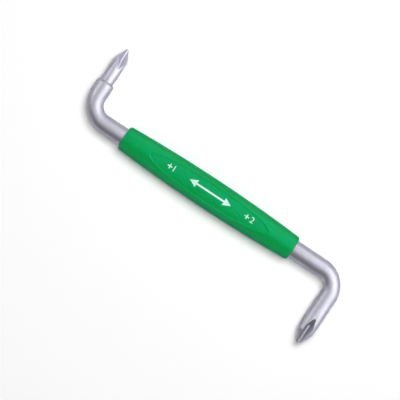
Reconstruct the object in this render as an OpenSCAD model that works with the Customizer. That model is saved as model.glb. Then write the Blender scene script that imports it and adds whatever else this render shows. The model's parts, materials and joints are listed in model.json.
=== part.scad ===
// Offset screwdriver: a round steel bar bent to a Z, a cross tip on each arm, and a grip moulded on its middle.
// It lies flat with the bar along X. The size 1 arm points to +Y and the size 2 arm to -Y.

/* [Bar] */
// Diameter of the round steel bar
bar_d = 6; // [5.6:0.1:7]
// Distance between the axes of the two arms
arm_spacing = 97.5; // [92:0.5:140]
// Radius of both bends on the centre line of the bar
bend_r = 6.5; // [4.5:0.1:8]

/* [Size 1 arm] */
// Distance from the axis of the bar to the end of the size 1 tip
reach_1 = 24.3; // [22:0.1:40]
// Diameter of the stem that is turned down for the size 1 tip
stem_d_1 = 4.5; // [4:0.1:5]
// Distance from the axis of the bar to the foot of the stem
stem_foot_1 = 11.9; // [10:0.1:14]
// Length of the cone between the bar and the stem
shoulder_len_1 = 0.8; // [0.4:0.1:1.5]
// Diameter of the blunt nose of the size 1 tip
nose_d_1 = 0.9; // [0.8:0.05:1.4]
// Distance across the roots of two opposite flutes at the nose of the size 1 tip
core_d_1 = 0.9; // [0.7:0.05:1]
// Width of the flat root of a size 1 flute
root_w_1 = 0.4; // [0.3:0.01:0.5]
// Length of the size 1 flutes from the end of the tip
flute_len_1 = 7.3; // [6:0.1:9]
// Angle between the two walls of a size 1 flute
flute_angle_1 = 90; // [86:1:94]
// Angle between the root of a size 1 flute and the axis along the wings
rise_angle_1 = 3; // [1:0.5:6]
// Angle between the root of a size 1 flute and the axis where the flute runs out
run_out_angle_1 = 28; // [22:1:36]
// Turn of the size 1 flutes about the arm, from straight up towards +X
flute_turn_1 = 24; // [0:1:89]

/* [Size 2 arm] */
// Distance from the axis of the bar to the end of the size 2 tip
reach_2 = 24.6; // [22:0.1:40]
// Diameter of the blunt nose of the size 2 tip
nose_d_2 = 1.8; // [1.5:0.05:2.4]
// Distance across the roots of two opposite flutes at the nose of the size 2 tip
core_d_2 = 1.2; // [1:0.05:1.6]
// Width of the flat root of a size 2 flute
root_w_2 = 0.6; // [0.4:0.05:0.7]
// Length of the size 2 flutes from the end of the tip
flute_len_2 = 9.65; // [8:0.05:12]
// Angle between the two walls of a size 2 flute
flute_angle_2 = 70; // [66:1:90]
// Angle between the root of a size 2 flute and the axis along the wings
rise_angle_2 = 2; // [1:0.5:5]
// Angle between the root of a size 2 flute and the axis where the flute runs out
run_out_angle_2 = 38; // [30:1:45]
// Turn of the size 2 flutes about the arm, from straight up towards +X
flute_turn_2 = 10; // [0:1:89]

/* [Flanks of both tips] */
// Angle between the flank of a tip and its axis
flank_angle = 26.5; // [25:0.5:28]
// Angle between the blunt end of a tip and a plane across its axis
nose_angle = 28; // [20:1:35]

/* [Keys under the grip] */
// Distance between the middles of the two pressed keys
key_spacing = 30; // [20:1:40]
// Length of a key along the bar
key_len = 8; // [5:0.5:12]
// Width across the two ears of a key
key_span = 7.8; // [7.4:0.1:8.2]
// Thickness of the ears of a key
key_t = 1.6; // [1:0.1:2.2]
// Depth of the flats that the press leaves above and below a key
key_flat_depth = 0.4; // [0.2:0.1:0.8]

/* [Grip] */
// Length of the grip
grip_len = 65.3; // [60:0.1:72]
// Diameter of the grip at its middle
grip_mid_d = 10.4; // [10:0.1:13]
// Diameter of the grip at its ends
grip_end_d = 8.3; // [8:0.1:9.5]
// Shift of the grip from midway between the arms towards the size 1 end
grip_shift = 1.6; // [0:0.1:3]
// Radius of the rounded rim at both ends of the grip
grip_rim_r = 1; // [0.4:0.1:1.1]

/* [Panels in the grip] */
// Length of the oval panel sunk into the top and bottom of the grip
panel_len = 45.4; // [36:0.1:54]
// Width of the oval panel
panel_w = 6.6; // [5:0.1:7]
// Depth of the panel at its two ends
panel_depth = 0.28; // [0.2:0.01:0.5]
// Radius of the crowned floor of the panel across the grip
panel_floor_r = 10; // [9:0.5:14]
// Depth of the two flats that the tool lies on, across the ends of the lower panel
rest_flat_depth = 0.1; // [0.08:0.01:0.16]

/* [Hidden] */
$fn = 96;

// Steps along the arc of the barrel, and round each rim
barrel_steps = 24;
rim_steps = 6;
// Overrun of every cut past the solid that it cuts
overrun = 2;

bar_r = bar_d / 2;
straight_len = arm_spacing - 2 * bend_r;
flutes_per_tip = 4;

// Barrel of the grip, an arc through its end and middle diameters
grip_sag = (grip_mid_d - grip_end_d) / 2;
barrel_arc_r = (pow(grip_len / 2, 2) + pow(grip_sag, 2)) / (2 * grip_sag);
function barrel_r(x) = grip_mid_d / 2 - barrel_arc_r + sqrt(pow(barrel_arc_r, 2) - pow(x, 2));

// Centre of the round of a rim, as a radius and a distance along the grip
rim_y = grip_len / 2 - grip_rim_r;
rim_x = barrel_r(rim_y) - grip_rim_r;

// The grip lies on two flats, cut level across the ends of its lower panel
panel_end_r = barrel_r(panel_len / 2);
axis_z = panel_end_r - rest_flat_depth;
panel_floor_z = panel_end_r - panel_depth;

function nose_len(nose_d) = nose_d / 2 * tan(nose_angle);
function point_len(d, nose_d) = nose_len(nose_d) + (d - nose_d) / 2 / tan(flank_angle);

// Outline of an arm on its own axis, from the end of the bend to the end of the tip
function tip_outline(d, nose_d, reach) = [
    [d / 2, reach - point_len(d, nose_d)],
    [nose_d / 2, reach - nose_len(nose_d)],
    [0, reach]
];

// Prism of a flute's section along Z: a flat root across the Z axis and two walls that open towards +X
module flute_prism(root_w, flute_angle, mouth, len) {
    mouth_w = root_w / 2 + mouth * tan(flute_angle / 2);
    linear_extrude(height = len, center = true)
        polygon([
            [0, root_w / 2],
            [mouth, mouth_w],
            [mouth, -mouth_w],
            [0, -root_w / 2]
        ]);
}

// One flute: along the wings it follows the core, and then it runs out through the side of the arm
module flute(d, reach, nose_d, core_d, root_w, flute_len, flute_angle, rise_angle, run_out_angle) {
    mouth = d + flute_len;
    prism_len = 2 * mouth + 2 * flute_len;
    intersection() {
        translate([core_d / 2, 0, reach - nose_len(nose_d)])
            rotate([0, -rise_angle, 0])
                flute_prism(root_w, flute_angle, mouth, prism_len);
        translate([d / 2, 0, reach - flute_len])
            rotate([0, -run_out_angle, 0])
                flute_prism(root_w, flute_angle, mouth, prism_len);
    }
}

// Solid of revolution along Z, cut by its child at four places round its tip
module fluted_arm(outline, turn) {
    difference() {
        rotate_extrude()
            polygon(outline);
        for (i = [0 : flutes_per_tip - 1])
            rotate([0, 0, turn + i * 360 / flutes_per_tip])
                children();
    }
}

// Size 1 arm along Z: the bar, a conical shoulder, the slim stem and its tip
module arm_1() {
    outline = concat(
        [
            [0, bend_r],
            [bar_r, bend_r],
            [bar_r, stem_foot_1 - shoulder_len_1],
            [stem_d_1 / 2, stem_foot_1]
        ],
        tip_outline(stem_d_1, nose_d_1, reach_1)
    );
    fluted_arm(outline, flute_turn_1)
        flute(
            stem_d_1, reach_1, nose_d_1, core_d_1, root_w_1,
            flute_len_1, flute_angle_1, rise_angle_1, run_out_angle_1
        );
}

// Size 2 arm along Z: the bar at its full diameter and its tip
module arm_2() {
    outline = concat([[0, bend_r], [bar_r, bend_r]], tip_outline(bar_d, nose_d_2, reach_2));
    fluted_arm(outline, -flute_turn_2)
        flute(
            bar_d, reach_2, nose_d_2, core_d_2, root_w_2,
            flute_len_2, flute_angle_2, rise_angle_2, run_out_angle_2
        );
}

// Quarter bend about Z, from the X axis to the Y axis
module bend() {
    rotate_extrude(angle = 90)
        translate([bend_r, 0])
            circle(d = bar_d);
}

// Straight stretch along X, pinched at two places into keys that stop the grip from turning or sliding
module straight_bar() {
    flat_z = bar_r - key_flat_depth;
    difference() {
        rotate([0, 90, 0])
            cylinder(h = straight_len, d = bar_d, center = true);
        for (side = [-1, 1], face = [-1, 1])
            translate([key_x(side), 0, face * (flat_z + overrun / 2)])
                cube([key_len, bar_d + overrun, overrun], center = true);
    }
    for (side = [-1, 1])
        translate([key_x(side), 0, 0])
            cube([key_len, key_span, key_t], center = true);
}

function key_x(side) = side * key_spacing / 2 - grip_shift;

// The whole bar about its own axis
module bar_shape() {
    straight_bar();
    translate([-straight_len / 2, bend_r, 0])
        rotate([0, 0, 180])
            bend();
    translate([straight_len / 2, -bend_r, 0])
        bend();
    translate([-arm_spacing / 2, 0, 0])
        rotate([-90, 0, 0])
            arm_1();
    translate([arm_spacing / 2, 0, 0])
        rotate([90, 0, 0])
            arm_2();
}

// Half outline of the barrel from one end of the axis to the other: a rim, the long arc and the other rim
function rim_points(side) = [
    for (i = [0 : rim_steps - 1])
        let (turn = 90 * i / rim_steps)
            [rim_x + grip_rim_r * sin(turn), side * (rim_y + grip_rim_r * cos(turn))]
];
function arc_points() = [
    for (i = [0 : barrel_steps])
        let (x = rim_y * (2 * i / barrel_steps - 1))
            [barrel_r(x), x]
];
function reversed(points) = [for (i = [len(points) - 1 : -1 : 0]) points[i]];

// Barrel along X with rounded rims
module barrel() {
    rotate([0, 90, 0])
        rotate_extrude()
            polygon(concat(
                [[0, -grip_len / 2]],
                rim_points(-1),
                arc_points(),
                reversed(rim_points(1)),
                [[0, grip_len / 2]]
            ));
}

// Oval cut with a crowned floor, on the upper side of the barrel
module panel_cut() {
    difference() {
        linear_extrude(height = grip_mid_d)
            scale([panel_len / 2, panel_w / 2])
                circle(r = 1);
        translate([0, 0, panel_floor_z - panel_floor_r])
            rotate([0, 90, 0])
                cylinder(h = panel_len + overrun, r = panel_floor_r, center = true);
    }
}

// Bent bar with both tips, lifted to where the grip holds it
module shank() {
    color("#B9B9C4")
        translate([0, 0, axis_z])
            bar_shape();
}

// Grip, moulded round the bar and its keys
module grip() {
    color("#12964F")
        translate([0, 0, axis_z])
            difference() {
                translate([-grip_shift, 0, 0])
                    difference() {
                        barrel();
                        for (face = [0, 1])
                            mirror([0, 0, face])
                                panel_cut();
                        translate([0, 0, -axis_z - overrun / 2])
                            cube([grip_len + overrun, grip_mid_d, overrun], center = true);
                    }
                straight_bar();
            }
}

shank();
grip();
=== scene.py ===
import bmesh
import bpy
import json
import math
from mathutils import Matrix, Vector


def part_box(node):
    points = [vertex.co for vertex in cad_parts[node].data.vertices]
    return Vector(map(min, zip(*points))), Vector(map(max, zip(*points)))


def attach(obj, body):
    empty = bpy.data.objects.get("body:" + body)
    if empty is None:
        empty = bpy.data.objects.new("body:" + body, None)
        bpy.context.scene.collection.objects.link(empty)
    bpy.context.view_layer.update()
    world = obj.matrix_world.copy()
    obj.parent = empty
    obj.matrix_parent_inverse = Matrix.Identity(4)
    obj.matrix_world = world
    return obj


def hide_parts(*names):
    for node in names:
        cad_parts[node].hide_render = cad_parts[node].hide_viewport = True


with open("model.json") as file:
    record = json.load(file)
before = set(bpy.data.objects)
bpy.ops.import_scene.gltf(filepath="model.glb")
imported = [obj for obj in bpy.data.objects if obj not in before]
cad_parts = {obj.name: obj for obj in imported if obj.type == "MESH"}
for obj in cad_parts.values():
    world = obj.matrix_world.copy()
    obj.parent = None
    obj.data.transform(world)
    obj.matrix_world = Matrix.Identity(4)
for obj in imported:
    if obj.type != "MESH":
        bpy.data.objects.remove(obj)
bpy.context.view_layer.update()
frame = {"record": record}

mm = 0.001  # pieces are modelled in millimetres and brought to metres when they are finished
mounts = {m["name"]: m for m in frame["record"]["mounts"]}
tip1 = Vector(mounts["tip_1"]["pos_m"]) / mm
tip2 = Vector(mounts["tip_2"]["pos_m"]) / mm
barRadius = mounts["arm_2"]["dims"]["r_mm"]
stemRadius = mounts["stem_1"]["dims"]["r_mm"]
barHeight = tip2.z  # the bar's axis above the table
gripBox = [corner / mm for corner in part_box("grip")]
gripMiddle = Vector(((gripBox[0].x + gripBox[1].x) / 2, 0, barHeight))
alongX = Vector((1, 0, 0))
alongY = Vector((0, 1, 0))
alongZ = Vector((0, 0, 1))
tolerance = {"merge": 1e-4, "cut": 1e-5, "flat": 1e-6}  # millimetres


# Shared modelling steps

def newObject(name, bm):
    mesh = bpy.data.meshes.new(name)
    bm.to_mesh(mesh)
    bm.free()
    obj = bpy.data.objects.new(name, mesh)
    bpy.context.scene.collection.objects.link(obj)
    return obj


def vertsOf(geom):
    return [g for g in geom if isinstance(g, bmesh.types.BMVert)]


def edgesOf(geom):
    return [g for g in geom if isinstance(g, bmesh.types.BMEdge)]


def tan(degrees):
    return math.tan(math.radians(degrees))


def turned(degrees, axis):
    return Matrix.Rotation(math.radians(degrees), 4, axis)


def bakedMesh(obj):
    graph = bpy.context.evaluated_depsgraph_get()
    return bpy.data.meshes.new_from_object(obj.evaluated_get(graph))


def combine(obj, tool, operation):  # the tool is used up
    step = obj.modifiers.new("combine", "BOOLEAN")
    step.operation = operation
    step.solver = "EXACT"
    step.object = tool
    made = bakedMesh(obj)
    obj.modifiers.clear()
    obj.data = made
    bpy.data.objects.remove(tool)


def block(name, middle, size):
    bm = bmesh.new()
    place = Matrix.Translation(middle) @ Matrix.Diagonal((*size, 1))
    bmesh.ops.create_cube(bm, size=1, matrix=place)
    return newObject(name, bm)


def softenEdges(obj, edgePick, width, segments):
    bm = bmesh.new()
    bm.from_mesh(obj.data)
    bmesh.ops.bevel(bm, geom=[e for e in bm.edges if edgePick(e)], offset=width, segments=segments,
                    affect="EDGES", profile=0.5, material=-1, clamp_overlap=True)
    bm.to_mesh(obj.data)
    bm.free()


def finishPiece(obj, material, slotName, sharpAngle, *nodes):
    obj.data.transform(Matrix.Scale(mm, 4))
    obj.data.shade_smooth()
    obj.data.set_sharp_from_angle(angle=math.radians(sharpAngle))
    obj.data.materials.clear()
    obj.data.materials.append(material)
    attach(obj, "root")
    if nodes:
        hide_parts(*nodes)
    print(obj.name, "has", len(obj.data.polygons), "faces")


# Materials

noiseSpan = {"From Min": 0.3, "From Max": 0.7}  # most values of a noise texture lie between these
smoothStep = {"interpolation_type": "SMOOTHSTEP"}
mixColors = {"data_type": "RGBA"}
firstColor, secondColor, mixedColor = 6, 7, 2  # colour sockets of a Mix node: two go in and one comes out


def hexColor(text):
    srgb = [int(text[i:i + 2], 16) / 255 for i in (1, 3, 5)]
    return (*[c / 12.92 if c <= 0.04045 else ((c + 0.055) / 1.055) ** 2.4 for c in srgb], 1)


def addNode(tree, kind, settings=None, values=None, links=None):
    node = tree.nodes.new(kind)
    for key, value in (settings or {}).items():
        setattr(node, key, value)
    for key, value in (values or {}).items():
        node.inputs[key].default_value = value
    for key, socket in (links or {}).items():
        tree.links.new(socket, node.inputs[key])
    return node


def newMaterial(name):
    material = bpy.data.materials.new(name)
    material.use_nodes = True
    tree = material.node_tree
    return material, tree, tree.nodes["Principled BSDF"]


def perMetre(sizeMm):  # texture scale that gives a pattern this many millimetres wide
    return 1 / (sizeMm * mm)


# Satin chrome: plated steel, blasted with fine glass beads, so highlights spread softly
def makeSatinChrome():
    look = {
        "color": "#A4A3AE",
        "edge": "#D0D0DC",         # tints what is mirrored at a glancing view
        "roughness": (0.41, 0.49),
        "cloud": 5.0,              # width of the patches that are more or less dull
        "bead": 0.8,               # real dimples are about 0.1 mm wide, drawn coarser and deeper to show
        "beadDepth": 0.25,
        "beadStrength": 0.35,
    }
    material, tree, shader = newMaterial("satinChromePlate")
    place = addNode(tree, "ShaderNodeTexCoord")
    cloud = addNode(tree, "ShaderNodeTexNoise", values={"Scale": perMetre(look["cloud"]), "Detail": 3.0},
                    links={"Vector": place.outputs["Object"]})
    low, high = look["roughness"]
    spread = addNode(tree, "ShaderNodeMapRange", values={**noiseSpan, "To Min": low, "To Max": high},
                     links={"Value": cloud.outputs["Fac"]})
    bead = addNode(tree, "ShaderNodeTexNoise", values={"Scale": perMetre(look["bead"]), "Detail": 2.0},
                   links={"Vector": place.outputs["Object"]})
    bump = addNode(tree, "ShaderNodeBump",
                   values={"Strength": look["beadStrength"], "Distance": look["beadDepth"] * mm},
                   links={"Height": bead.outputs["Fac"]})
    shader.inputs["Base Color"].default_value = hexColor(look["color"])
    shader.inputs["Metallic"].default_value = 1
    shader.inputs["Specular Tint"].default_value = hexColor(look["edge"])
    tree.links.new(spread.outputs["Result"], shader.inputs["Roughness"])
    tree.links.new(bump.outputs["Normal"], shader.inputs["Normal"])
    return material


# Polypropylene moulded in a spark-eroded mould: an even green with a cool satin gloss,
# which is strongest where the surface slants and dies away at a glancing view
def makeGreenPolypropylene():
    look = {
        "color": "#049E39",
        "shade": "#039834",
        "gloss": "#48F0FF",
        "facingGloss": 0.5,
        "slantGloss": 0.9,
        "glancingGloss": 0.03,
        "glossRise": (0.03, 0.2),  # from facing to slanting, where 0 faces the view and 1 is its edge
        "glossFall": (0.15, 0.5),  # from slanting to glancing
        "sheen": "#10B0FF",
        "sheenWeight": 0.28,
        "sheenRoughness": 0.5,
        "ior": 1.49,
        "scatter": 0.5,            # the eroded skin scatters evenly up to its edges
        "roughness": (0.42, 0.5),
        "cloud": 6.0,              # width of the patches that are more or less dark
        "grain": 0.9,              # real grain is about 0.1 mm wide, drawn coarser and deeper to show
        "grainDepth": 0.65,
        "grainStrength": 0.4,
    }
    material, tree, shader = newMaterial("mouldedGreenPolypropylene")
    place = addNode(tree, "ShaderNodeTexCoord")
    cloud = addNode(tree, "ShaderNodeTexNoise", values={"Scale": perMetre(look["cloud"]), "Detail": 2.0},
                    links={"Vector": place.outputs["Object"]})
    tint = addNode(tree, "ShaderNodeMix", mixColors,
                   {firstColor: hexColor(look["color"]), secondColor: hexColor(look["shade"])},
                   {"Factor": cloud.outputs["Fac"]})
    grain = addNode(tree, "ShaderNodeTexNoise", values={"Scale": perMetre(look["grain"]), "Detail": 2.0},
                    links={"Vector": place.outputs["Object"]})
    low, high = look["roughness"]
    spread = addNode(tree, "ShaderNodeMapRange", values={**noiseSpan, "To Min": low, "To Max": high},
                     links={"Value": grain.outputs["Fac"]})
    bump = addNode(tree, "ShaderNodeBump",
                   values={"Strength": look["grainStrength"], "Distance": look["grainDepth"] * mm},
                   links={"Height": grain.outputs["Fac"]})
    view = addNode(tree, "ShaderNodeLayerWeight", values={"Blend": 0.5})
    start, end = look["glossRise"]
    rising = addNode(tree, "ShaderNodeMapRange", smoothStep,
                     {"From Min": start, "From Max": end,
                      "To Min": look["facingGloss"], "To Max": look["slantGloss"]},
                     {"Value": view.outputs["Facing"]})
    start, end = look["glossFall"]
    falling = addNode(tree, "ShaderNodeMapRange", smoothStep,
                      {"From Min": start, "From Max": end,
                       "To Min": 1, "To Max": look["glancingGloss"] / look["slantGloss"]},
                      {"Value": view.outputs["Facing"]})
    level = addNode(tree, "ShaderNodeMath", {"operation": "MULTIPLY"},
                    links={0: rising.outputs["Result"], 1: falling.outputs["Result"]})
    tree.links.new(tint.outputs[mixedColor], shader.inputs["Base Color"])
    tree.links.new(spread.outputs["Result"], shader.inputs["Roughness"])
    tree.links.new(bump.outputs["Normal"], shader.inputs["Normal"])
    tree.links.new(level.outputs[0], shader.inputs["Specular IOR Level"])
    shader.inputs["IOR"].default_value = look["ior"]
    shader.inputs["Diffuse Roughness"].default_value = look["scatter"]
    shader.inputs["Specular Tint"].default_value = hexColor(look["gloss"])
    shader.inputs["Sheen Weight"].default_value = look["sheenWeight"]
    shader.inputs["Sheen Roughness"].default_value = look["sheenRoughness"]
    shader.inputs["Sheen Tint"].default_value = hexColor(look["sheen"])
    return material


# Pad-printing ink: a thin white film that dries slightly uneven and lets a little of the green through
def makePadInk():
    look = {
        "color": "#D6F7EC",
        "thin": "#B9E8D7",         # where the green shows through
        "roughness": 0.5,
        "film": 1.0,               # real unevenness is about 0.2 mm wide, drawn coarser to show
        "filmDepth": 0.1,
        "filmStrength": 0.3,
    }
    material, tree, shader = newMaterial("whitePadInk")
    place = addNode(tree, "ShaderNodeTexCoord")
    film = addNode(tree, "ShaderNodeTexNoise", values={"Scale": perMetre(look["film"]), "Detail": 2.0},
                   links={"Vector": place.outputs["Object"]})
    bump = addNode(tree, "ShaderNodeBump",
                   values={"Strength": look["filmStrength"], "Distance": look["filmDepth"] * mm},
                   links={"Height": film.outputs["Fac"]})
    cover = addNode(tree, "ShaderNodeMapRange", values=noiseSpan, links={"Value": film.outputs["Fac"]})
    tint = addNode(tree, "ShaderNodeMix", mixColors,
                   {firstColor: hexColor(look["thin"]), secondColor: hexColor(look["color"])},
                   {"Factor": cover.outputs["Result"]})
    tree.links.new(tint.outputs[mixedColor], shader.inputs["Base Color"])
    tree.links.new(bump.outputs["Normal"], shader.inputs["Normal"])
    shader.inputs["Roughness"].default_value = look["roughness"]
    return material


satinChrome = makeSatinChrome()
greenPolypropylene = makeGreenPolypropylene()
padInk = makePadInk()
print("materials made")


# Shank: one bar with two bends, a turned stem and two fluted tips

shankDims = {
    "sides": 96,
    "bendRadius": 6.5,       # centre line of both bends
    "bendSteps": 24,
    "stemFoot": 11.9,        # from the bar's axis
    "shoulderLength": 0.8,
    "flankAngle": 26.5,      # to the axis of the tip
    "noseAngle": 28,         # to a plane across the axis
    "flutes": 4,             # round each tip
    "cutterOverrun": 1.5,    # short enough for the cutters to clear the bar beside the arm
    "pressReach": 2.5,       # how far the flattening runs past each end of a bend
    "pressStep": 0.5,
    "edgeRound": 0.06,
    "edgeAngle": 24,         # sharper edges than this are rounded
    "edgeSegments": 2,
    "sharpAngle": 40,
}
keyDims = {  # two keys pressed out of the bar under the grip
    "spacing": 30,
    "length": 8,
    "span": 7.8,
    "thickness": 1.6,
    "flatDepth": 0.4,        # of the flats that the press leaves above and below
}
tipDims = {  # rise and runOut are the angles of a flute's root to the axis, along the wings and at its end
    1: {"radius": stemRadius, "reach": tip1.y, "noseRadius": 0.45, "coreRadius": 0.45, "rootWidth": 0.4,
        "fluteLength": 7.3, "fluteAngle": 90, "turn": 24, "rise": 3, "runOut": 28},
    2: {"radius": barRadius, "reach": -tip2.y, "noseRadius": 0.9, "coreRadius": 0.6, "rootWidth": 0.6,
        "fluteLength": 9.65, "fluteAngle": 70, "turn": -10, "rise": 2, "runOut": 38},
}
pressDims = {  # flattening of the outer and the inner side at the middle of each bend
    1: {"outer": 0.65, "inner": 0.0},
    2: {"outer": 0.1, "inner": 0.4},
}


def noseLength(tip):
    return tip["noseRadius"] * tan(shankDims["noseAngle"])


def flankLength(tip):
    return (tip["radius"] - tip["noseRadius"]) / tan(shankDims["flankAngle"])


def growRing(bm, ring, move, ratio=1):
    made = bmesh.ops.extrude_edge_only(bm, edges=ring)["geom"]
    verts = vertsOf(made)
    bmesh.ops.translate(bm, verts=verts, vec=move)
    middle = sum((v.co for v in verts), Vector()) / len(verts)
    bmesh.ops.scale(bm, verts=verts, vec=(ratio, ratio, ratio), space=Matrix.Translation(-middle))
    return [e for e in edgesOf(made) if e.verts[0] in verts and e.verts[1] in verts]


def pressSteps():  # short steps beside a bend, which the flattening needs
    return [shankDims["pressStep"]] * round(shankDims["pressReach"] / shankDims["pressStep"])


def growStraight(bm, ring, way, length):
    for step in pressSteps() + [length - 2 * shankDims["pressReach"]] + pressSteps():
        ring = growRing(bm, ring, way * step)
    return ring


def growStemArm(bm, ring, tip, noseY):  # from the nose of the size 1 tip down to its bend
    stemFoot, shoulder = shankDims["stemFoot"], shankDims["shoulderLength"]
    bendEnd = shankDims["bendRadius"] + shankDims["pressReach"]
    flank = flankLength(tip)
    steps = [
        (flank, stemRadius / tip["noseRadius"]),
        (noseY - flank - stemFoot, 1),
        (shoulder, barRadius / stemRadius),
        (stemFoot - shoulder - bendEnd, 1),
    ]
    for length, ratio in steps + [(step, 1) for step in pressSteps()]:
        ring = growRing(bm, ring, -alongY * length, ratio)
    return ring


def bendRing(bm, ring, centre, angle):
    verts = list({v for e in ring for v in e.verts})
    made = bmesh.ops.spin(bm, geom=verts + ring, cent=centre, axis=alongZ, angle=math.radians(angle),
                          steps=shankDims["bendSteps"], use_merge=False, use_duplicate=False)["geom_last"]
    return edgesOf(made)


def pressBend(bm, tipPlace, side, press):  # side is 1 at the size 1 end, and -1 half a turn away
    bendRadius, reach = shankDims["bendRadius"], shankDims["pressReach"]
    centre = Vector((side * tipPlace.x + bendRadius, bendRadius, 0))
    arc = bendRadius * math.pi / 2
    for v in bm.verts:
        place = Vector((side * v.co.x, side * v.co.y, 0)) - centre
        if place.y > 0:
            along, outwards = -place.y, -alongX
        elif place.x > 0:
            along, outwards = arc + place.x, -alongY
        else:
            along, outwards = bendRadius * math.atan2(-place.y, -place.x), place.normalized()
        if -reach < along < arc + reach:
            out = place.dot(outwards) - bendRadius
            share = math.sin(math.pi * (along + reach) / (arc + 2 * reach)) ** 2
            depth = press["outer"] if out > 0 else press["inner"]
            v.co -= side * outwards * share * depth * out / barRadius


def closeNose(bm, ring, axis, tip):
    cap = bmesh.ops.holes_fill(bm, edges=ring, sides=0)["faces"]
    apex = bmesh.ops.poke(bm, faces=cap)["verts"]
    bmesh.ops.translate(bm, verts=apex, vec=axis * noseLength(tip))


def makeBar():
    bendRadius = shankDims["bendRadius"]
    small, large = tipDims[1], tipDims[2]
    nosePlace = tip1 - alongY * noseLength(small)
    bm = bmesh.new()
    bmesh.ops.create_circle(bm, segments=shankDims["sides"], radius=small["noseRadius"],
                            matrix=Matrix.Translation(nosePlace) @ turned(-90, "X"))
    start = list(bm.edges)
    ring = growStemArm(bm, start, small, nosePlace.y)
    ring = bendRing(bm, ring, (tip1.x + bendRadius, bendRadius, barHeight), 90)
    ring = growStraight(bm, ring, alongX, tip2.x - tip1.x - 2 * bendRadius)
    ring = bendRing(bm, ring, (tip2.x - bendRadius, -bendRadius, barHeight), -90)
    armLength = large["reach"] - noseLength(large) - flankLength(large) - bendRadius
    ring = growStraight(bm, ring, -alongY, armLength)
    ring = growRing(bm, ring, -alongY * flankLength(large), large["noseRadius"] / barRadius)
    closeNose(bm, start, alongY, small)
    closeNose(bm, ring, -alongY, large)
    pressBend(bm, tip1, 1, pressDims[1])
    pressBend(bm, tip2, -1, pressDims[2])
    bmesh.ops.recalc_face_normals(bm, faces=bm.faces)
    return newObject("bentBar", bm)


def flutePrism(tip, foot, lean):  # a flat root and two walls that open outwards, leaning from the axis
    mouth = 2 * tip["radius"]
    length = 2 * (tip["fluteLength"] + shankDims["cutterOverrun"])
    halfRoot = tip["rootWidth"] / 2
    halfMouth = halfRoot + mouth * tan(tip["fluteAngle"] / 2)
    outline = [(0, halfRoot), (mouth, halfMouth), (mouth, -halfMouth), (0, -halfRoot)]
    bm = bmesh.new()
    section = bm.faces.new([bm.verts.new((x, y, -length / 2)) for x, y in outline])
    made = bmesh.ops.extrude_face_region(bm, geom=[section])["geom"]
    bmesh.ops.translate(bm, verts=vertsOf(made), vec=alongZ * length)
    bmesh.ops.recalc_face_normals(bm, faces=bm.faces)
    bmesh.ops.rotate(bm, verts=bm.verts, cent=(0, 0, 0), matrix=turned(-lean, "Y"))
    bmesh.ops.translate(bm, verts=bm.verts, vec=foot)
    return newObject("flutePrism", bm)


def makeFlute(tip):
    alongWings = Vector((tip["coreRadius"], 0, tip["reach"] - noseLength(tip)))
    runOut = Vector((tip["radius"], 0, tip["reach"] - tip["fluteLength"]))
    flute = flutePrism(tip, alongWings, tip["rise"])
    combine(flute, flutePrism(tip, runOut, tip["runOut"]), "INTERSECT")
    return flute


def cutFlutes(bar, tip, armPlace):
    pattern = makeFlute(tip)
    for i in range(shankDims["flutes"]):
        cutter = pattern.copy()
        cutter.data = pattern.data.copy()
        bpy.context.scene.collection.objects.link(cutter)
        cutter.data.transform(armPlace @ turned(tip["turn"] + 360 * i / shankDims["flutes"], "Z"))
        combine(bar, cutter, "DIFFERENCE")
    bpy.data.objects.remove(pattern)


def pressKeys(bar):
    length, depth = keyDims["length"], keyDims["flatDepth"]
    for side in (-1, 1):
        middle = gripMiddle + alongX * side * keyDims["spacing"] / 2
        for face in (-1, 1):
            flat = block("flat", middle + alongZ * face * barRadius, (length, 2 * barRadius, 2 * depth))
            combine(bar, flat, "DIFFERENCE")
        combine(bar, block("key", middle, (length, keyDims["span"], keyDims["thickness"])), "UNION")


def makeShank():
    bar = makeBar()
    pressKeys(bar)
    cutFlutes(bar, tipDims[1], Matrix.Translation((tip1.x, 0, barHeight)) @ turned(-90, "X"))
    cutFlutes(bar, tipDims[2], Matrix.Translation((tip2.x, 0, barHeight)) @ turned(90, "X"))

    def isEdge(e):
        return e.is_manifold and e.calc_face_angle(0) > math.radians(shankDims["edgeAngle"])
    softenEdges(bar, isEdge, shankDims["edgeRound"], shankDims["edgeSegments"])
    finishPiece(bar, satinChrome, "steel", shankDims["sharpAngle"], "shank")
    return bar


shank = makeShank()


# Grip: a barrel with rounded rims and an oval panel sunk into its top and bottom

gripDims = {
    "sides": 128,
    "length": gripBox[1].x - gripBox[0].x,
    "midRadius": 5.2,
    "endRadius": 4.15,
    "rimRound": 1.0,
    "rimSteps": 8,
    "barrelSteps": 60,
    "pilotRadius": 2.0,      # hole that the bar widens to its own shape
    "panelLength": 45.4,     # of the oval, along the upper edge of its sloping wall
    "panelWidth": 6.6,
    "panelDepth": 0.28,      # at the two ends of the oval
    "endWall": 0.5,          # width of the sloping wall at the ends of the oval
    "sideWall": 0.3,         # and at its sides
    "wallLean": 60,          # from upright
    "panelCrown": 10,        # radius of the panel floor across the grip
    "panelSides": 128,
    "panelStrips": 20,
    "panelRound": 0.12,      # along the upper edge of the panel
    "panelEdgeAngle": 15,    # sharper edges than this are rounded
    "panelEdgeSegments": 4,
    "sharpAngle": 20,
}
gripSag = gripDims["midRadius"] - gripDims["endRadius"]
barrelArc = (gripDims["length"] ** 2 / 4 + gripSag ** 2) / (2 * gripSag)


def barrelRadius(x):
    return gripDims["midRadius"] - barrelArc + math.sqrt(barrelArc ** 2 - x ** 2)


def panelFloor(y):
    crown = gripDims["panelCrown"]
    top = barrelRadius(gripDims["panelLength"] / 2) - gripDims["panelDepth"]
    return top - crown + math.sqrt(crown ** 2 - y ** 2)


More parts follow.
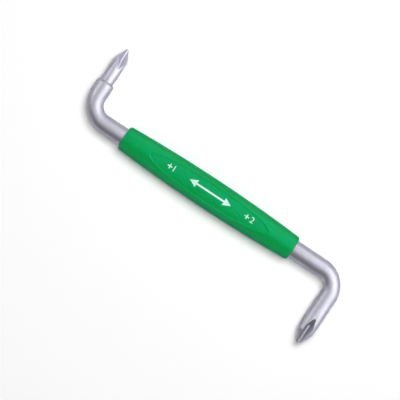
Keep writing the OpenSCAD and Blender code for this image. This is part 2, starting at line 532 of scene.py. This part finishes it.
def gripOutline():  # from one end to the other, as places along the grip and radii
    half = gripDims["length"] / 2
    rim = gripDims["rimRound"]
    rimX = half - rim
    rimRadius = barrelRadius(rimX) - rim
    turns = [math.radians(90 * i / gripDims["rimSteps"]) for i in range(gripDims["rimSteps"])]
    side = [(half, gripDims["pilotRadius"])]
    side += [(rimX + rim * math.cos(t), rimRadius + rim * math.sin(t)) for t in turns]
    steps = gripDims["barrelSteps"]
    arc = [rimX * (1 - 2 * i / steps) for i in range(steps + 1)]
    return side + [(x, barrelRadius(x)) for x in arc] + [(-x, r) for x, r in reversed(side)]


def makeBarrel():
    bm = bmesh.new()
    verts = [bm.verts.new((x, 0, r)) for x, r in gripOutline()]
    edges = [bm.edges.new(pair) for pair in zip(verts, verts[1:] + verts[:1])]
    bmesh.ops.spin(bm, geom=verts + edges, cent=(0, 0, 0), axis=alongX, angle=math.radians(360),
                   steps=gripDims["sides"], use_merge=True, use_duplicate=False)
    bmesh.ops.recalc_face_normals(bm, faces=bm.faces)
    bmesh.ops.translate(bm, verts=bm.verts, vec=gripMiddle)
    return newObject("mouldedGrip", bm)


def panelCutter(facing):  # an oval floor, crowned across, with a wall that slopes outwards above it
    halfLength = gripDims["panelLength"] / 2 - gripDims["endWall"]
    halfWidth = gripDims["panelWidth"] / 2 - gripDims["sideWall"]
    bm = bmesh.new()
    bmesh.ops.create_circle(bm, cap_ends=True, segments=gripDims["panelSides"], radius=1,
                            matrix=Matrix.Diagonal((halfLength, halfWidth, 1, 1)))
    made = vertsOf(bmesh.ops.extrude_face_region(bm, geom=list(bm.faces))["geom"])
    top = 2 * gripDims["midRadius"]
    spread = (top - panelFloor(0)) * tan(gripDims["wallLean"])
    bmesh.ops.translate(bm, verts=made, vec=alongZ * top)
    bmesh.ops.scale(bm, verts=made, vec=(1 + spread / halfLength, 1 + spread / halfWidth, 1))

    def onFloor(v):
        return abs(v.co.z) < tolerance["flat"]
    for i in range(1, gripDims["panelStrips"]):
        y = 2 * halfWidth * (i / gripDims["panelStrips"] - 0.5)
        floor = [f for f in bm.faces if all(onFloor(v) for v in f.verts)]
        geom = floor + list({e for f in floor for e in f.edges}) + list({v for f in floor for v in f.verts})
        bmesh.ops.bisect_plane(bm, geom=geom, dist=tolerance["cut"], plane_co=(0, y, 0), plane_no=alongY)
    for v in bm.verts:
        if onFloor(v):
            v.co.z = panelFloor(v.co.y)
    bmesh.ops.rotate(bm, verts=bm.verts, cent=(0, 0, 0), matrix=turned(facing, "X"))
    bmesh.ops.translate(bm, verts=bm.verts, vec=gripMiddle)
    bmesh.ops.recalc_face_normals(bm, faces=bm.faces)
    return newObject("panelCutter", bm)


def makeGrip():
    grip = makeBarrel()
    for facing in (0, 180):
        combine(grip, panelCutter(facing), "DIFFERENCE")

    def isPanelRim(e):
        middle = (e.verts[0].co + e.verts[1].co) / 2 - gripMiddle
        inPanel = abs(middle.x) < gripDims["panelLength"] / 2 + gripDims["panelRound"]
        isSharp = e.calc_face_angle(0) > math.radians(gripDims["panelEdgeAngle"])
        return e.is_convex and inPanel and isSharp and abs(middle.z) > barRadius
    softenEdges(grip, isPanelRim, gripDims["panelRound"], gripDims["panelEdgeSegments"])

    width = 2 * gripDims["midRadius"]  # everything below the table goes, which leaves two flats to lie on
    below = Vector((gripMiddle.x, 0, -width / 2))
    combine(grip, block("belowTable", below, (gripDims["length"] + width, width, width)), "DIFFERENCE")
    core = bpy.data.objects.new("core", shank.data.copy())  # the grip is moulded round the bar and its keys
    core.data.transform(Matrix.Scale(1 / mm, 4))
    bpy.context.scene.collection.objects.link(core)
    combine(grip, core, "DIFFERENCE")
    finishPiece(grip, greenPolypropylene, "grip", gripDims["sharpAngle"], "grip")


makeGrip()


# Printed marks: a plus and a number for the cross tip at each end, and an arrow to both ends

markDims = {
    "across": 0.4,           # from the middle of the panel
    "height": 2.0,           # of the numbers
    "plusWidth": 1.7,
    "stroke": 0.34,
    "gap": 0.6,              # between a plus and its number
    "sizes": {"1": -16.2, "2": 13.7},  # each number and the place of its mark along the bar
    "arrowAlong": -1.2,
    "arrowLength": 15.6,
    "headLength": 2.6,
    "headHeight": 2.6,
    "shaftHeight": 0.6,
    "film": 0.02,            # above the panel, and as much below it
    "strip": 0.25,           # the film follows the crown of the panel in strips this wide
    "sharpAngle": 40,
}


def addNumber(bm, number, left):
    font = bpy.data.curves.new("number", "FONT")
    font.body = number
    written = bpy.data.objects.new("number", font)
    bpy.context.scene.collection.objects.link(written)
    flat = bakedMesh(written)
    bpy.data.objects.remove(written)
    corners = [Vector(v.co) for v in flat.vertices]
    low = Vector((min(c.x for c in corners), min(c.y for c in corners), 0))
    ratio = markDims["height"] / (max(c.y for c in corners) - low.y)
    place = Matrix.Translation((left, -markDims["height"] / 2, 0))
    flat.transform(place @ Matrix.Scale(ratio, 4) @ Matrix.Translation(-low))
    bm.from_mesh(flat)
    return (max(c.x for c in corners) - low.x) * ratio


def addPlus(bm, middle):
    stroke = markDims["stroke"]
    square = bmesh.ops.create_grid(bm, x_segments=1, y_segments=1, size=stroke / 2,
                                   matrix=Matrix.Translation(middle))["verts"]
    for side in [e for e in bm.edges if all(v in square for v in e.verts)]:
        outwards = ((side.verts[0].co + side.verts[1].co) / 2 - middle).normalized()
        arm = vertsOf(bmesh.ops.extrude_edge_only(bm, edges=[side])["geom"])
        bmesh.ops.translate(bm, verts=arm, vec=outwards * (markDims["plusWidth"] - stroke) / 2)


def printMark(name, bm, along):
    film, strip = markDims["film"], markDims["strip"]
    bmesh.ops.translate(bm, verts=bm.verts, vec=(along, markDims["across"], 0))
    bmesh.ops.remove_doubles(bm, verts=bm.verts, dist=tolerance["merge"])
    low, high = [pick(v.co.y for v in bm.verts) for pick in (min, max)]
    for i in range(1, math.ceil((high - low) / strip)):
        bmesh.ops.bisect_plane(bm, geom=bm.verts[:] + bm.edges[:] + bm.faces[:], dist=tolerance["cut"],
                               plane_co=(0, low + i * strip, 0), plane_no=alongY)
    raised = bmesh.ops.extrude_face_region(bm, geom=bm.faces[:])["geom"]
    bmesh.ops.translate(bm, verts=vertsOf(raised), vec=alongZ * 2 * film)
    for v in bm.verts:
        v.co.z += barHeight + panelFloor(v.co.y) - film
    bmesh.ops.recalc_face_normals(bm, faces=bm.faces)
    finishPiece(newObject(name, bm), padInk, "ink", markDims["sharpAngle"])


def makeSizeMark(number, along):
    bm = bmesh.new()
    addPlus(bm, Vector((markDims["plusWidth"] / 2, 0, 0)))
    left = markDims["plusWidth"] + markDims["gap"]
    width = left + addNumber(bm, number, left)
    printMark("sizeMark" + number, bm, along - width / 2)


def makeArrow():
    half = markDims["arrowLength"] / 2
    foot = half - markDims["headLength"]
    shaft, head = markDims["shaftHeight"] / 2, markDims["headHeight"] / 2
    right = [(foot, -shaft), (foot, -head), (half, 0), (foot, head), (foot, shaft)]
    left = [(-x, -y) for x, y in right]
    bm = bmesh.new()
    outline = bm.faces.new([bm.verts.new((x, y, 0)) for x, y in right + left])
    outline.normal_update()
    bmesh.ops.triangulate(bm, faces=[outline])
    printMark("endsArrow", bm, markDims["arrowAlong"])


for number, along in markDims["sizes"].items():
    makeSizeMark(number, along)
makeArrow()


# Stage: white table, soft lights and a camera straight above, turned as the photograph is

camDims = {
    "turn": 33.4148,         # from the bar to the level of the picture
    "middle": (-2.68, -3.40),
    "width": 128.84,         # of what the picture shows at the height of the bar
    "lens": 200,
    "sensor": 36,
}
tableLook = {
    "size": 4.0,             # metres, as everything about the lights is
    "color": "#FFFFFF",
    "roughness": 0.9,
    "glow": 0.11,            # lifts the lit table to white for the camera and in reflections
}
glossSoftboxes = {  # they show in glossy surfaces
    "keySoftbox": {"towards": (1, 0.42, 0.78), "distance": 0.6, "size": (0.8, 0.74), "radiance": 2.2},
    "sideSoftbox": {"towards": (0.1, 1, 0.6), "distance": 0.6, "size": (0.5, 0.3), "radiance": 1.1},
    "nearSoftbox": {"towards": (0.3, 0.25, 1), "distance": 0.22, "size": (0.16, 0.16), "radiance": 0.45},
    "fillSoftbox": {"towards": (-1, 0.1, 0.62), "distance": 0.6, "size": (0.3, 0.24), "radiance": 2.4},
}
colorSoftboxes = {  # they light matt surfaces and cast the shadow
    "overheadSoftbox": {"towards": (0.06, 0.268, 1), "distance": 0.6, "size": (0.21, 0.32), "radiance": 12.5},
    "roofPanel": {"towards": (0, 0, 1), "distance": 0.6, "size": (1.2, 1.2), "radiance": 0.45},
}
tentLook = {
    "color": "#FFFFFF",
    "wall": {"From Min": 0.1, "From Max": 0.65, "To Min": 1.08, "To Max": 0.34},  # dimmer in front
    "foot": {"From Min": 0.0, "From Max": 0.5, "To Min": 0.4, "To Max": 1.0},     # dimmer at the table
}
lookAt = Vector((*camDims["middle"], barHeight)) * mm


def makeCamera():
    data = bpy.data.cameras.new("photoCamera")
    data.lens = camDims["lens"]
    data.sensor_width = camDims["sensor"]
    camera = bpy.data.objects.new("photoCamera", data)
    distance = camDims["width"] * mm * camDims["lens"] / camDims["sensor"]
    camera.location = lookAt + alongZ * distance
    camera.rotation_euler = (0, 0, math.radians(camDims["turn"]))
    bpy.context.scene.collection.objects.link(camera)
    bpy.context.scene.camera = camera


def makeTable():
    bm = bmesh.new()
    bmesh.ops.create_grid(bm, x_segments=1, y_segments=1, size=tableLook["size"] / 2)
    table = newObject("table", bm)
    material, tree, shader = newMaterial("whiteTable")
    shader.inputs["Base Color"].default_value = hexColor(tableLook["color"])
    shader.inputs["Roughness"].default_value = tableLook["roughness"]
    shader.inputs["Specular IOR Level"].default_value = 0
    path = addNode(tree, "ShaderNodeLightPath")
    seen = addNode(tree, "ShaderNodeMath", {"operation": "ADD"},
                   links={0: path.outputs["Is Camera Ray"], 1: path.outputs["Is Glossy Ray"]})
    seen = addNode(tree, "ShaderNodeMath", {"operation": "ADD", "use_clamp": True},
                   links={0: seen.outputs[0], 1: path.outputs["Is Transmission Ray"]})
    glow = addNode(tree, "ShaderNodeMath", {"operation": "MULTIPLY"}, {1: tableLook["glow"]},
                   {0: seen.outputs[0]})
    shader.inputs["Emission Color"].default_value = hexColor(tableLook["color"])
    tree.links.new(glow.outputs[0], shader.inputs["Emission Strength"])
    table.data.materials.append(material)


def makeSoftbox(name, box, inGloss):
    width, height = box["size"]
    data = bpy.data.lights.new(name, "AREA")
    data.shape = "RECTANGLE"
    data.size = width
    data.size_y = height
    data.energy = box["radiance"] * math.pi * width * height
    away = Vector(box["towards"]).normalized()
    softbox = bpy.data.objects.new(name, data)
    softbox.location = lookAt + away * box["distance"]
    softbox.rotation_mode = "QUATERNION"
    softbox.rotation_quaternion = away.to_track_quat("Z", "Y")
    softbox.visible_camera = False
    softbox.visible_glossy = inGloss
    softbox.visible_diffuse = not inGloss
    bpy.context.scene.collection.objects.link(softbox)


def makeTent():
    world = bpy.data.worlds.new("lightTent")
    bpy.context.scene.world = world
    world.use_nodes = True
    tree = world.node_tree
    background = tree.nodes["Background"]
    background.inputs["Color"].default_value = hexColor(tentLook["color"])
    place = addNode(tree, "ShaderNodeTexCoord")
    front = addNode(tree, "ShaderNodeVectorMath", {"operation": "DOT_PRODUCT"}, {1: -alongY},
                    {0: place.outputs["Generated"]})
    wall = addNode(tree, "ShaderNodeMapRange", smoothStep, tentLook["wall"],
                   {"Value": front.outputs["Value"]})
    height = addNode(tree, "ShaderNodeSeparateXYZ", links={0: place.outputs["Generated"]})
    foot = addNode(tree, "ShaderNodeMapRange", smoothStep, tentLook["foot"],
                   {"Value": height.outputs["Z"]})
    level = addNode(tree, "ShaderNodeMath", {"operation": "MULTIPLY"},
                    links={0: wall.outputs["Result"], 1: foot.outputs["Result"]})
    tree.links.new(level.outputs[0], background.inputs["Strength"])
    world.cycles_visibility.diffuse = False


makeCamera()
makeTable()
for name, box in glossSoftboxes.items():
    makeSoftbox(name, box, True)
for name, box in colorSoftboxes.items():
    makeSoftbox(name, box, False)
makeTent()
bpy.context.scene.view_settings.view_transform = "Standard"
print("stage made")
